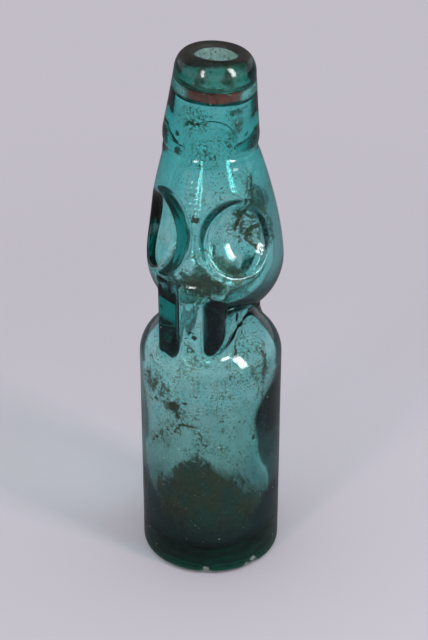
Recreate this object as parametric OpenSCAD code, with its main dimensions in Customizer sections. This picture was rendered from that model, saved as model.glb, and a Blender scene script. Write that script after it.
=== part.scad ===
// Marble-stoppered soda bottle: a blown glass body, a fused-on lip, a rubber
// washer in the lip's groove and a loose glass marble that seals against it.
// Millimetres, +Z up, origin at the centre of the foot.

/* [Body] */
// Outer diameter of the straight body
body_d = 55; // [50:0.5:62]
// Height of the straight side, up to the centre of the shoulder's rounding
body_h = 89.5; // [70:0.5:120]
// Thickness of the blown wall
wall = 4; // [3:0.1:5]
// Thickness of the glass under the cavity
base_t = 10; // [7:0.5:14]
// Rounding of the heel
heel_r = 3; // [1:0.5:5]
// Diameter of the hollow under the foot
push_up_d = 38; // [28:1:42]
// Depth of the hollow under the foot
push_up_depth = 3; // [1:0.5:5]
// Radius of the shoulder's rounding
shoulder_r = 14; // [12:0.5:16]

/* [Waist] */
// Height from the shoulder's centre to the widest level of the chamber
belly_rise = 42.5; // [41:0.5:46]
// Diameter of the waist at the bottom of the two side pits
waist_d = 23; // [21:0.5:25]
// Diameter across the rounded front and back of the web
web_d = 50.8; // [47:0.2:53]
// Width of the web, between the two side pits
web_w = 26.4; // [24:0.2:29]
// How far the bottom of a side pit bows in from the web's corners
pit_bow = 2; // [1:0.2:3]
// Turn of the mould seam, which runs down the middle of the web, from the front
seam_turn = -20.5; // [-45:0.5:0]
// Thickness of the web's front and back, where the slot ends
web_wall = 4.4; // [3.5:0.1:5.5]
// How much narrower the slot is than the marble
slot_catch = 5.5; // [4:0.5:7]

/* [Chamber] */
// Outer diameter at the widest level of the chamber
belly_d = 51.4; // [49:0.2:58]
// Radius of the chamber's underside
under_r = 22; // [20:0.5:24]
// Height from the widest level to the seat of the lip
chamber_h = 46; // [41:0.5:54]
// How suddenly the chamber draws in towards the neck
flank_power = 1.6; // [1.3:0.1:2]
// Lean of the chamber below the lip's seat, to the right
chamber_lean = 2.2; // [0:0.1:3]
// Outer diameter of the neck at the seat of the lip
neck_d = 33.4; // [31:0.2:36]
// Radius of the left dimple of the two that catch the marble
left_dimple_r = 16.4; // [14:0.2:18]
// Radius of the right dimple
right_dimple_r = 15.2; // [14:0.2:18]
// Room between the passing marble and the inside of a dimple
dimple_clear = 2.15; // [1:0.05:4]
// Height of the dimples above the widest level
dimple_rise = 16.5; // [14:0.5:19]
// Turn of the left dimple from the front
left_dimple_turn = -67; // [-75:1:-60]
// Turn of the right dimple from the front
right_dimple_turn = 24; // [15:1:35]

/* [Lip] */
// Height of the lip above its seat
lip_h = 34.5; // [30:0.5:38]
// Largest diameter of the lip, near its foot
lip_foot_d = 35.2; // [34.2:0.2:38]
// Height of the rounding at the lip's foot
lip_foot_h = 5; // [3:0.5:6]
// Level where the lip starts to taper
lip_belt_h = 8.5; // [7:0.5:10]
// Diameter of the lip half way up its taper
lip_mid_d = 32.4; // [31:0.2:34]
// Level half way up the taper
lip_mid_h = 15.5; // [13:0.5:18]
// Diameter of the lip below its rounded crown
lip_top_d = 29.6; // [27:0.2:31]
// Height of the lip's rounded crown
crown_h = 7.5; // [5:0.5:9]
// Diameter of the crown's highest ring
crown_d = 21; // [19:0.5:23]
// Lean of the hand-set lip to the right
lip_lean = 3.5; // [0:0.5:4]
// How much wider the neck bore is than the marble
bore_clear = 2.9; // [2.2:0.1:4]
// How much narrower the opening above the washer is than the marble
mouth_catch = 1.3; // [0.8:0.1:3]
// Radius of the opening's rounded rim
rim_r = 2.4; // [1:0.2:3]

/* [Washer] */
// How much wider the washer is than the neck bore
washer_hold = 2.2; // [1.6:0.1:3]
// How much narrower the washer's hole is than the marble
washer_catch = 3.5; // [2.5:0.1:5]
// Thickness of the washer
washer_t = 4.2; // [3:0.2:5]
// Height of the washer's underside above the lip's seat
washer_rise = 19.2; // [17:0.2:20]
// Gap round the washer in its groove
washer_gap = 0.1; // [0.1:0.05:0.3]

/* [Marble] */
// Diameter of the marble
marble_d = 16.5; // [14:0.1:20]
// Gap between the marble and what it rests on
marble_gap = 0.2; // [0.1:0.05:0.3]

/* [Hidden] */
$fn = 96;
// Steps along each round stretch of an outline
ARC_STEPS = 7;
// Steps along the chamber's flank
FLANK_STEPS = 9;
// Reach of a cut past the face that it opens
CUT = 5;
// Reach of the lip's foot below its seat before it is trimmed level
FOOT_TRIM = 3;
body_r = body_d / 2;
belly_r = belly_d / 2;
neck_r = neck_d / 2;
waist_r = waist_d / 2;
belly_z = body_h + belly_rise;
seat_z = belly_z + chamber_h;
// Middles of the arcs of the shoulder and of the chamber's underside
shoulder_mid = body_r - shoulder_r;
under_mid = belly_r - under_r;
// Groove round the neck below the lip's seat, where the flank ends
groove_h = 3;
groove_depth = 0.9;
flank_h = chamber_h - groove_h;
// How much thicker the glass is in the middle of the base
base_crown = 1;
// Insides of the shoulder and of the chamber
shoulder_in_r = shoulder_r - wall;
under_in_r = under_r - wall;
cavity_top_z = body_h + shoulder_in_r;
cavity_low_z = belly_z - under_in_r;
// How far the web runs down into the shoulder and stops short of the belly
web_sink = 4;
web_stop = 2;
web_low_z = body_h - web_sink;
web_top_z = belly_z - web_stop;
dimple_z = belly_z + dimple_rise;
// Sizes that follow the marble
slot_w = marble_d - slot_catch;
slot_l = web_d - 2 * web_wall;
neck_bore_d = marble_d + bore_clear;
bore_r = neck_bore_d / 2;
mouth_d = marble_d - mouth_catch;
washer_d = neck_bore_d + washer_hold;
washer_hole_d = marble_d - washer_catch;
dimple_floor = marble_d / 2 + wall + dimple_clear;
// The marble rests on the two long edges of the slot, in the chamber's leaning floor
marble_r = marble_d / 2;
marble_hang = drop(marble_r + marble_gap, slot_w / 2);
marble_z = max(slot_edge_z(-slot_w / 2), slot_edge_z(slot_w / 2)) + marble_hang;

function drop(r, x) = sqrt(pow(r, 2) - pow(x, 2));
// Level of the chamber's floor at a slot edge that lies across the web by the distance x
function slot_edge_z(x) =
    let (
        floor_h = seat_z - cavity_low_z,
        floor_x = floor_h * sin(chamber_lean),
        away = max(abs(x - floor_x * cos(seam_turn)) - under_mid, 0),
        curve_rise = under_in_r - drop(under_in_r, away),
        lean_rise = (x * cos(seam_turn) - floor_x) * sin(chamber_lean)
    )
        seat_z - floor_h * cos(chamber_lean) + curve_rise + lean_rise;
// Points on an arc about [x, z] from angle a to angle b
function arc(x, z, r, a, b) = [
    for (i = [0 : ARC_STEPS])
        let (t = a + (b - a) * i / ARC_STEPS)
            [x + r * cos(t), z + r * sin(t)]
];
// Points on a quarter ellipse from [x1, z0] upwards to [x0, z1]
function quarter(x1, z0, x0, z1) = [
    for (i = [0 : ARC_STEPS])
        let (t = 90 * i / ARC_STEPS)
            [x0 + (x1 - x0) * cos(t), z0 + (z1 - z0) * sin(t)]
];
// Points on the lip's rounded foot, from [x0, 0] outwards and up to [x1, z1]
function foot_curve(x0, x1, z1) = [
    for (i = [0 : ARC_STEPS])
        let (t = 90 * i / ARC_STEPS)
            [x0 + (x1 - x0) * sin(t), z1 * (1 - cos(t))]
];
// Points on the rim, from the crown at [x0, z0] inwards and down to [x1, z1]
function rim_curve(x0, z0, x1, z1) = [
    for (i = [1 : ARC_STEPS])
        let (t = 90 * i / ARC_STEPS)
            [x0 + (x1 - x0) * sin(t), z1 + (z0 - z1) * cos(t)]
];
// Points up the flank, from radius r0 at the belly to radius r1 at the height h
function flank(r0, r1, h) = [
    for (i = [1 : FLANK_STEPS])
        let (t = i / FLANK_STEPS)
            [r0 + (r1 - r0) * pow(t, flank_power), belly_z + h * t]
];

// Outline of the blown body, with the waist's core running up into the chamber
module body_outline() {
    shoulder_end = acos((waist_r - shoulder_mid) / shoulder_r);
    polygon(concat(
        [[0, 0]],
        arc(body_r - heel_r, heel_r, heel_r, -90, 0),
        arc(shoulder_mid, body_h, shoulder_r, 0, shoulder_end),
        [[waist_r, belly_z], [0, belly_z]]
    ));
}

// Outline of the chamber and neck, from its underside to past the lip's seat
module chamber_outline() {
    polygon(concat(
        [[0, belly_z - under_r]],
        arc(under_mid, belly_z, under_r, -90, 0),
        flank(belly_r, neck_r + groove_depth, flank_h),
        [[neck_r, seat_z - groove_h / 3], [neck_r, seat_z + CUT], [0, seat_z + CUT]]
    ));
}

// Outline of the space inside, below the waist
module lower_cavity_outline() {
    in_r = body_r - wall;
    floor_r = heel_r + wall;
    polygon(concat(
        [[0, base_t + base_crown]],
        arc(in_r - floor_r, base_t + floor_r, floor_r, -90, 0),
        arc(shoulder_mid, body_h, shoulder_in_r, 0, 90),
        [[0, cavity_top_z]]
    ));
}

// Outline of the space inside, above the waist
module upper_cavity_outline() {
    polygon(concat(
        [[0, cavity_low_z]],
        arc(under_mid, belly_z, under_in_r, -90, 0),
        flank(belly_r - wall, bore_r, flank_h),
        [[bore_r, seat_z + CUT], [0, seat_z + CUT]]
    ));
}

// Leans its children about the middle of the lip's seat, as the chamber leans
module on_chamber() {
    translate([0, 0, seat_z])
        rotate([0, -chamber_lean, 0])
            translate([0, 0, -seat_z])
                children();
}

// Hollow web across the waist, between the two side pits
module waist_web() {
    web_h = web_top_z - web_low_z;
    half_run = drop(web_d / 2, web_w / 2);
    bow_r = (pow(half_run, 2) + pow(pit_bow, 2)) / (2 * pit_bow);
    rotate([0, 0, seam_turn - 90])
        translate([0, 0, web_low_z])
            difference() {
                intersection() {
                    cylinder(d = web_d, h = web_h);
                    translate([-web_d, -web_w / 2, 0])
                        cube([2 * web_d, web_w, web_h]);
                }
                for (side = [-1, 1])
                    translate([0, side * (web_w / 2 - pit_bow + bow_r), -CUT])
                        cylinder(r = bow_r, h = web_h + 2 * CUT);
            }
}

// The pair of dimples that hold the marble back, grown by the wall on the inside
module dimples(grow) {
    on_chamber()
        for (dimple = [[left_dimple_turn, left_dimple_r], [right_dimple_turn, right_dimple_r]])
            rotate([0, 0, dimple[0] - 90])
                translate([dimple_floor + dimple[1], 0, dimple_z])
                    sphere(r = dimple[1] + grow);
}

// Slot along the inside of the web, which lets the drink past but not the marble
module waist_slot() {
    slot_h = belly_z - body_h;
    half_run = (slot_l - slot_w) / 2;
    rotate([0, 0, seam_turn - 90])
        translate([0, 0, body_h]) {
            translate([-half_run, -slot_w / 2, 0])
                cube([2 * half_run, slot_w, slot_h]);
            for (end = [-1, 1])
                translate([end * half_run, 0, 0])
                    cylinder(d = slot_w, h = slot_h);
        }
}

// Shallow hollow under the foot
module push_up() {
    ball_r = (pow(push_up_d / 2, 2) + pow(push_up_depth, 2)) / (2 * push_up_depth);
    translate([0, 0, push_up_depth - ball_r])
        sphere(r = ball_r);
}

module glass_body() {
    reach = 2 * body_d;
    color("darkcyan")
        difference() {
            union() {
                rotate_extrude()
                    body_outline();
                on_chamber()
                    rotate_extrude()
                        chamber_outline();
                waist_web();
            }
            translate([-reach / 2, -reach / 2, seat_z])
                cube(reach);
            dimples(0);
            push_up();
            difference() {
                union() {
                    rotate_extrude()
                        lower_cavity_outline();
                    on_chamber()
                        rotate_extrude()
                            upper_cavity_outline();
                }
                dimples(wall);
            }
            waist_slot();
        }
}

// Places its children on the lip's own axis, with Z measured from the seat
module on_lip() {
    translate([0, 0, seat_z])
        rotate([0, lip_lean, 0])
            children();
}

// Outline of the lip, from below the seat up over the crown and down the bore
module lip_outline() {
    mouth_r = mouth_d / 2;
    groove_r = washer_d / 2 + washer_gap;
    groove_top = washer_rise + washer_t;
    polygon(concat(
        [[bore_r, -FOOT_TRIM], [neck_r, -FOOT_TRIM]],
        foot_curve(neck_r, lip_foot_d / 2, lip_foot_h),
        [[lip_foot_d / 2, lip_belt_h], [lip_mid_d / 2, lip_mid_h]],
        quarter(lip_top_d / 2, lip_h - crown_h, crown_d / 2, lip_h),
        rim_curve(crown_d / 2, lip_h, mouth_r, lip_h - rim_r),
        [[mouth_r, groove_top], [groove_r, groove_top]],
        [[groove_r, washer_rise], [bore_r, washer_rise]]
    ));
}

module mouth_collar() {
    reach = 2 * body_d;
    color("teal")
        difference() {
            on_lip()
                rotate_extrude()
                    lip_outline();
            translate([-reach / 2, -reach / 2, seat_z - reach])
                cube(reach);
        }
}

module rubber_washer() {
    color("sienna")
        on_lip()
            translate([0, 0, washer_rise])
                difference() {
                    cylinder(d = washer_d, h = washer_t);
                    translate([0, 0, -CUT])
                        cylinder(d = washer_hole_d, h = washer_t + 2 * CUT);
                }
}

module marble() {
    color("darkgreen")
        translate([0, 0, marble_z])
            sphere(d = marble_d);
}

glass_body();
mouth_collar();
rubber_washer();
marble();
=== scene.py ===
"""Looks of a marble-stoppered soda bottle: thick teal glass, stained inside, with a
perished rubber washer in the lip and a green glass marble in the chamber."""

import math

import bpy
import numpy as np
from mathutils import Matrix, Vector, noise


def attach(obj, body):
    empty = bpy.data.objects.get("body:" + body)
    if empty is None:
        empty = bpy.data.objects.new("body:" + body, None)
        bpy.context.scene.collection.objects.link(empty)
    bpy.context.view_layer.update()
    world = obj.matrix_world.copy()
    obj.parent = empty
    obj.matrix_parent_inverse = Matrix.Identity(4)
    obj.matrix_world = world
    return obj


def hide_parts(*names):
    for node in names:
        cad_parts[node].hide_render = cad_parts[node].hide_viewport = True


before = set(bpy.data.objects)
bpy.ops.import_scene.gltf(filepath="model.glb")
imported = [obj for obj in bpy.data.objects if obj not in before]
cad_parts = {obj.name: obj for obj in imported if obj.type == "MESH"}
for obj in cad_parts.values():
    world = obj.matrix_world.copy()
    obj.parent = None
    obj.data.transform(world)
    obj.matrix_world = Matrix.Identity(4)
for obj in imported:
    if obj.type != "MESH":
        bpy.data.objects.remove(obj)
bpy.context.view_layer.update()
scene = bpy.context.scene

MM = 0.001

# Camera -----------------------------------------------------------------------

CAMERA_AT = (0.0013, -0.5642, 0.4392)
CAMERA_AIM = (0.0013, 0.0, 0.1027)
CAMERA_LENS_MM = 96.4


def aim(thing, target):
    """Turns a lamp or camera so that it looks at a point."""
    thing.rotation_euler = (Vector(target) - thing.location).to_track_quat("-Z", "Y").to_euler()


bpy.ops.object.select_all(action="DESELECT")
bpy.ops.object.camera_add(location=CAMERA_AT)
camera = bpy.context.object
camera.data.lens = CAMERA_LENS_MM
camera.data.sensor_width = 36.0
aim(camera, CAMERA_AIM)
scene.camera = camera

# Sizes of the bottle, in millimetres ------------------------------------------

BODY_R = 27.5
BODY_H = 89.5
WALL = 4.0
BASE_T = 10.0
BASE_CROWN = 1.0
HEEL_R = 3.0
PUSH_UP_R = 19.0
PUSH_UP_DEPTH = 3.0
SHOULDER_R = 14.0
SHOULDER_MID = BODY_R - SHOULDER_R

BELLY_Z = 132.0
BELLY_R = 25.7
UNDER_R = 22.0
UNDER_MID = BELLY_R - UNDER_R
SEAT_Z = 178.0
GROOVE_H = 3.0
FLANK_H = SEAT_Z - BELLY_Z - GROOVE_H
FLANK_POWER = 1.6
FLANK_TOP_R = 17.6
NECK_R = 16.7
BORE_R = 9.7

CORE_R = 11.5
WEB_R = 25.4
WEB_HALF = 13.2
PIT_BOW = 2.0
# Twice the radius of the web's hollow sides, and the turns of its corners from the seam
PIT_CURVE = 237.0
WEB_CORNERS = (31.3, 148.7, 211.3, 328.7)
# Rounding of the web's front right corner, which came out of the mould softer, and of the others
SOFT_EDGE = 7.0
WEB_EDGE = 1.8
WEB_LOW_Z = 85.5
WEB_TOP_Z = 130.0
WEB_WALL = 4.4
SLOT_HALF_W = 5.5
SLOT_REACH = WEB_R - WEB_WALL
SLOT_CORNER_R = 3.2

SEAM_TURN = -20.5
SEAM_RISE = 0.3
SEAM_HALF_W = 0.6
RIPPLE_RISE = 0.11
RIPPLE_WAVE = 1.9
DIMPLE_FLOOR = 14.4
DIMPLE_Z = 148.5
# Turn from the front and radius of the two dimples
DIMPLES = ((-67.0, 16.4), (24.0, 15.2))

# Leans of the chamber and of the lip about the lip's seat, in degrees
CHAMBER_LEAN = -2.2
LIP_LEAN = 3.5

# Lip, with heights above its seat
LIP_FOOT_R = 17.6
LIP_FOOT_H = 3.4
LIP_BELT_H = 5.0
LIP_MID_R = 16.2
LIP_MID_H = 15.5
LIP_TOP_R = 14.8
LIP_H = 34.5
CROWN_H = 7.5
CROWN_R = 9.6
MOUTH_R = 7.6
RIM_R = 1.9
# How far the near side of the hand-shaped rim stands above the rest
RIM_RISE = 0.4
WASHER_LOW = 19.2
WASHER_T = 4.2
WASHER_R = 10.8
WASHER_HOLE_R = 6.5
WASHER_GAP = 0.1

MARBLE_R = 8.25
MARBLE_AT = (0.0, 0.0, 120.644)

# Number of columns round the bottle
COLUMNS = 210

# Shape of the glass -------------------------------------------------------------
# Turns are measured from the front, -Y, towards the right, +X.


def ease(x, low, high):
    """Smooth step from 0 at low to 1 at high."""
    t = np.clip((x - low) / (high - low), 0.0, 1.0)
    return t * t * (3.0 - 2.0 * t)


def lean_at(z):
    """Lean of a ring of the bottle at the height z, in degrees."""
    return CHAMBER_LEAN * ease(z, 90.0, 118.0) + (LIP_LEAN - CHAMBER_LEAN) * ease(z, 173.0, 181.0)


def leaned(points, degrees):
    """Turns points about the middle of the lip's seat, towards +X for a positive lean."""
    a = np.radians(degrees)
    x, y, z = points[..., 0], points[..., 1], points[..., 2] - SEAT_Z
    return np.stack(
        [x * np.cos(a) + z * np.sin(a), y, SEAT_Z - x * np.sin(a) + z * np.cos(a)], axis=-1
    )


def ring(radius, turn, z):
    """Points at a radius and turn on the leaning rings of the bottle."""
    radius, turn, z = np.broadcast_arrays(radius, turn, z)
    flat = np.stack([radius * np.sin(turn), -radius * np.cos(turn), z], axis=-1)
    return leaned(flat, lean_at(z))


def smooth_max(a, b, k):
    """Larger of two distances, rounded over about k where they meet."""
    h = np.maximum(k - np.abs(a - b), 0.0) / k
    return np.maximum(a, b) + h * h * k / 4.0


def smooth_min(a, b, k):
    """Smaller of two distances, rounded over about k where they meet."""
    return -smooth_max(-a, -b, k)


def rounded(across, along, radius):
    """Distance to a shape whose corner is an arc of this radius."""
    outside = np.hypot(np.maximum(across, 0.0), np.maximum(along, 0.0))
    return outside + np.minimum(np.maximum(across, along), 0.0) - radius


def seam_axes(points):
    """Places along the seam's direction and across it."""
    a = math.radians(SEAM_TURN)
    x, y = points[..., 0], points[..., 1]
    return x * math.sin(a) - y * math.cos(a), x * math.cos(a) + y * math.sin(a)


def chamber_distance(points, grow, neck_r):
    """Distance to the chamber, drawn in by grow, whose flank ends at neck_r."""
    p = leaned(points, -CHAMBER_LEAN)
    r = np.hypot(p[..., 0], p[..., 1])
    z = p[..., 2]
    under = rounded(r - UNDER_MID, BELLY_Z - z, UNDER_R - grow)
    t = np.clip((z - BELLY_Z) / FLANK_H, 0.0, 1.2)
    drop = neck_r - (BELLY_R - grow)
    slope = drop * FLANK_POWER * t ** (FLANK_POWER - 1.0) / FLANK_H
    flank = (r - (BELLY_R - grow) - drop * t**FLANK_POWER) / np.sqrt(1.0 + slope**2)
    return np.where(z < BELLY_Z, under, flank)


# Inner radius of the blown body at its right and left, by height
WALL_Z = (14.0, 20.0, 28.5, 35.0, 41.0, 46.0, 52.0, 63.0, 70.0, 74.5, 83.0, 92.0, 101.0)
WALL_RIGHT_R = (20.6, 21.4, 23.2, 23.4, 22.6, 21.8, 21.6, 21.2, 22.0, 23.6, 25.1, 24.6, 23.5)
WALL_LEFT_R = (22.6, 22.9, 24.2, 24.7, 24.9, 25.1, 24.7, 24.8, 25.1, 25.3, 25.4, 24.6, 23.5)


def cavity_share(turn, z):
    """Radius of the body's inner wall, as a share of its even radius."""
    even = BODY_R - WALL
    steps = (-4.0, -2.0, 0.0, 2.0, 4.0)
    right = sum(np.interp(z + d, WALL_Z, WALL_RIGHT_R) for d in steps) / len(steps) / even - 1.0
    left = sum(np.interp(z + d, WALL_Z, WALL_LEFT_R) for d in steps) / len(steps) / even - 1.0
    side = np.sin(turn)
    return 1.0 + right * np.clip(side, 0.0, 1.0) ** 2 + left * np.clip(-side, 0.0, 1.0) ** 2


def dimple_distances(points):
    """Distances to the two balls that press the dimples."""
    p = leaned(points, -CHAMBER_LEAN)
    for turn, radius in DIMPLES:
        a = math.radians(turn)
        out = DIMPLE_FLOOR + radius
        centre = np.array([out * math.sin(a), -out * math.cos(a), DIMPLE_Z])
        yield np.linalg.norm(p - centre, axis=-1) - radius


def outside_distance(points):
    """Distance to the outside of the glass, from the shoulder to the neck."""
    r = np.hypot(points[..., 0], points[..., 1])
    z = points[..., 2]
    along, across = seam_axes(points)
    body = rounded(r - SHOULDER_MID, z - BODY_H, SHOULDER_R)
    body = np.where(z < BODY_H, r - BODY_R, body)
    pit = np.abs(across) - (WEB_HALF - PIT_BOW) - along**2 / PIT_CURVE
    edge = np.where((across > 0.0) & (along > 0.0), SOFT_EDGE, WEB_EDGE)
    web = smooth_max(pit, r - WEB_R, edge)
    web = np.maximum(web, np.abs(z - (WEB_LOW_Z + WEB_TOP_Z) / 2) - (WEB_TOP_Z - WEB_LOW_Z) / 2)
    waist = np.minimum(web, np.maximum(r - CORE_R, z - BELLY_Z))
    chamber = chamber_distance(points, 0.0, FLANK_TOP_R)
    solid = smooth_min(smooth_min(body, chamber, 2.0), waist, 2.4)
    for dimple in dimple_distances(points):
        solid = smooth_max(solid, -dimple, 1.3)
    return solid


def inside_distance(points):
    """Distance to the space inside, from below the shoulder to the neck's bore."""
    r = np.hypot(points[..., 0], points[..., 1])
    z = points[..., 2]
    even_r = r / cavity_share(np.arctan2(points[..., 0], -points[..., 1]), z)
    lower = rounded(even_r - SHOULDER_MID, z - BODY_H, SHOULDER_R - WALL)
    lower = np.where(z < BODY_H, even_r - (BODY_R - WALL), lower)
    upper = chamber_distance(points, WALL, BORE_R)
    along, across = seam_axes(points)
    slot = rounded(
        np.abs(along) - (SLOT_REACH - SLOT_CORNER_R),
        np.abs(across) - (SLOT_HALF_W - SLOT_CORNER_R),
        SLOT_CORNER_R,
    )
    slot = np.maximum(slot, np.maximum(BODY_H - z, z - BELLY_Z))
    space = smooth_min(smooth_min(lower, slot, 4.5), upper, 1.6)
    for dimple in dimple_distances(points):
        space = smooth_max(space, WALL - dimple, 2.0)
    return space


def traced(distance, turns, z_levels, start, way, steps=40):
    """Radius at which a ray from the start radius meets the surface, outwards or inwards."""
    radius = np.full((len(z_levels), len(turns)), start)
    for _ in range(steps):
        gap = distance(ring(radius, turns[None, :], z_levels[:, None]))
        radius = np.clip(radius + 0.9 * way * np.abs(gap) * np.sign(gap * -way), 0.2, 32.0)
    return radius


def even_rows(points, count):
    """Spreads each column's points evenly along its length."""
    hops = np.linalg.norm(np.diff(points, axis=0), axis=-1)
    run = np.vstack([np.zeros(points.shape[1]), np.cumsum(hops, axis=0)])
    spread = np.empty((count, points.shape[1], 3))
    for c in range(points.shape[1]):
        at = np.linspace(0.0, run[-1, c], count)
        for k in range(3):
            spread[:, c, k] = np.interp(at, run[:, c], points[:, c, k])
    return spread


def settled(points, distance, rounds=14):
    """Evens a grid out along the surface and puts it back on the surface, round by round."""
    nudge = 0.02
    for _ in range(rounds):
        inner = points[1:-1]
        near = (
            points[:-2] + points[2:] + np.roll(inner, 1, axis=1) + np.roll(inner, -1, axis=1)
        ) / 4.0
        inner = inner + 0.5 * (near - inner)
        for _ in range(2):
            gap = distance(inner)
            slope = np.stack(
                [
                    distance(inner + np.eye(3)[k] * nudge) - distance(inner - np.eye(3)[k] * nudge)
                    for k in range(3)
                ],
                axis=-1,
            ) / (2.0 * nudge)
            size = np.maximum((slope**2).sum(axis=-1), 0.2)
            inner = inner - np.clip(gap / size, -0.8, 0.8)[..., None] * slope
        points = np.concatenate([points[:1], inner, points[-1:]])
    return points


def column_turns():
    """Turns of the columns, closer together on the web's four corners."""
    around = np.linspace(0.0, 360.0, 1441)
    crowding = np.ones_like(around)
    for corner in WEB_CORNERS:
        crowding += 1.3 * np.exp(-(((around - corner + 180.0) % 360.0 - 180.0) / 8.0) ** 2)
    run = np.concatenate([[0.0], np.cumsum((crowding[1:] + crowding[:-1]) / 2.0)])
    turns = np.interp(np.linspace(0.0, run[-1], COLUMNS, endpoint=False), run, around)
    return np.radians(turns + SEAM_TURN)


def arc(x, z, radius, start, end, count):
    """Points on an arc of the profile, without its first one."""
    a = np.radians(np.linspace(start, end, count + 1)[1:])
    return np.stack([x + radius * np.cos(a), z + radius * np.sin(a)], axis=-1)


def line(x0, z0, x1, z1, count):
    """Points on a straight stretch of the profile, without its first one."""
    t = np.linspace(0.0, 1.0, count + 1)[1:]
    return np.stack([x0 + (x1 - x0) * t, z0 + (z1 - z0) * t], axis=-1)


def quarter(x0, z0, x1, z1, count, flat_first):
    """Points on a quarter ellipse of the profile, without its first one."""
    t = np.linspace(0.0, math.pi / 2, count + 1)[1:]
    if flat_first:
        return np.stack([x0 + (x1 - x0) * np.sin(t), z1 + (z0 - z1) * np.cos(t)], axis=-1)
    return np.stack([x1 + (x0 - x1) * np.cos(t), z0 + (z1 - z0) * np.sin(t)], axis=-1)


# Heights between which the glass is traced, and is not simply turned from a profile
LOW_Z = 86.0
HIGH_Z = 172.0


def flank_r(z, foot_r, top_r):
    """Radius of the chamber's flank at the height z."""
    t = (z - BELLY_Z) / FLANK_H
    return foot_r + (top_r - foot_r) * t**FLANK_POWER


def foot_profile():
    """Foot and straight side, from the middle of the hollow under the foot."""
    ball = (PUSH_UP_R**2 + PUSH_UP_DEPTH**2) / (2.0 * PUSH_UP_DEPTH)
    end = math.degrees(math.asin(PUSH_UP_R / ball))
    hollow = arc(0.0, PUSH_UP_DEPTH - ball, ball, 90.0, 90.0 - end, 9)
    return np.concatenate(
        [
            [[0.0, PUSH_UP_DEPTH]],
            hollow,
            line(PUSH_UP_R, 0.0, BODY_R - HEEL_R, 0.0, 4),
            arc(BODY_R - HEEL_R, HEEL_R, HEEL_R, -90.0, 0.0, 8),
            line(BODY_R, HEEL_R, BODY_R, LOW_Z, 38),
        ]
    )


def lip_profile():
    """Groove of the neck, lip, mouth, washer's seat and bore, down to the flank inside."""
    high_r = flank_r(HIGH_Z, BELLY_R, FLANK_TOP_R)
    high_in_r = flank_r(HIGH_Z, BELLY_R - WALL, BORE_R)
    seat_r = WASHER_R + WASHER_GAP
    top = WASHER_LOW + WASHER_T
    above = [
        line(high_r, HIGH_Z, FLANK_TOP_R, SEAT_Z - GROOVE_H, 3),
        quarter(FLANK_TOP_R, SEAT_Z - GROOVE_H, NECK_R, SEAT_Z, 4, False),
    ]
    lip = [
        quarter(NECK_R, 0.0, LIP_FOOT_R, LIP_FOOT_H, 7, True),
        line(LIP_FOOT_R, LIP_FOOT_H, LIP_FOOT_R, LIP_BELT_H, 4),
        line(LIP_FOOT_R, LIP_BELT_H, LIP_MID_R, LIP_MID_H, 7),
        line(LIP_MID_R, LIP_MID_H, LIP_TOP_R, LIP_H - CROWN_H, 10),
        quarter(LIP_TOP_R, LIP_H - CROWN_H, CROWN_R, LIP_H, 14, False),
        quarter(CROWN_R, LIP_H, MOUTH_R, LIP_H - RIM_R, 8, True),
        line(MOUTH_R, LIP_H - RIM_R, MOUTH_R, top, 7),
        line(MOUTH_R, top, seat_r, top, 4),
        line(seat_r, top, seat_r, WASHER_LOW, 5),
        line(seat_r, WASHER_LOW, BORE_R, WASHER_LOW, 2),
        line(BORE_R, WASHER_LOW, BORE_R, 0.0, 14),
    ]
    lift = np.array([0.0, SEAT_Z])
    below = [
        line(BORE_R, SEAT_Z, BORE_R, SEAT_Z - GROOVE_H, 2),
        line(BORE_R, SEAT_Z - GROOVE_H, high_in_r, HIGH_Z, 3),
    ]
    return np.concatenate(above + [part + lift for part in lip] + below)


def floor_profile():
    """Wall of the cavity below the shoulder, down to the middle of its floor."""
    in_r = BODY_R - WALL
    corner = HEEL_R + WALL
    return np.concatenate(
        [
            line(in_r, LOW_Z, in_r, BASE_T + corner, 34),
            arc(in_r - corner, BASE_T + corner, corner, 0.0, -90.0, 9),
            line(in_r - corner, BASE_T, 0.0, BASE_T + BASE_CROWN, 9),
        ]
    )


def revolved(profile, turns):
    """Grid of points of a profile turned round the bottle's leaning axis."""
    return ring(profile[:, 0:1], turns[None, :], profile[:, 1:2])


# Rows of the traced stretch, outside and inside
OUT_ROWS = 146
IN_ROWS = 112


def shell_rows():
    """Grid of points of the whole shell, and the first row of its traced inside."""
    turns = column_turns()
    levels = np.linspace(LOW_Z, HIGH_Z, 240)
    foot = revolved(foot_profile(), turns)
    outer = ring(traced(outside_distance, turns, levels, 31.0, -1.0), turns[None, :], levels[:, None])
    outer = settled(even_rows(outer, OUT_ROWS), outside_distance)
    lip = revolved(lip_profile(), turns)
    at_rim = ease(lip[..., 2], SEAT_Z + LIP_H - CROWN_H, SEAT_Z + LIP_H - 1.0)
    lip[..., 2] += RIM_RISE * np.clip(-lip[..., 1] / CROWN_R, 0.0, 1.0) * at_rim
    inner = ring(traced(inside_distance, turns, levels[::-1], 0.4, 1.0), turns[None, :], levels[::-1, None])
    inner = settled(even_rows(inner, IN_ROWS), inside_distance)
    floor = floor_profile()
    share = cavity_share(turns[None, :], floor[:, 1:2])
    floor = ring(floor[:, 0:1] * share, turns[None, :], floor[:, 1:2])
    rows = np.concatenate([foot, outer[1:], lip, inner[1:], floor])
    return rows, len(foot) + len(outer) - 1 + len(lip)


def waves(points, wavelength, seed):
    """Smooth noise from -1 to 1 with waves of this length in millimetres."""
    shift = Vector((seed * 3.7, seed * 1.3, seed * 2.1))
    flat = points.reshape(-1, 3) / wavelength
    return np.array([noise.noise(Vector(p) + shift) for p in flat]).reshape(points.shape[:-1])


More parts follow.
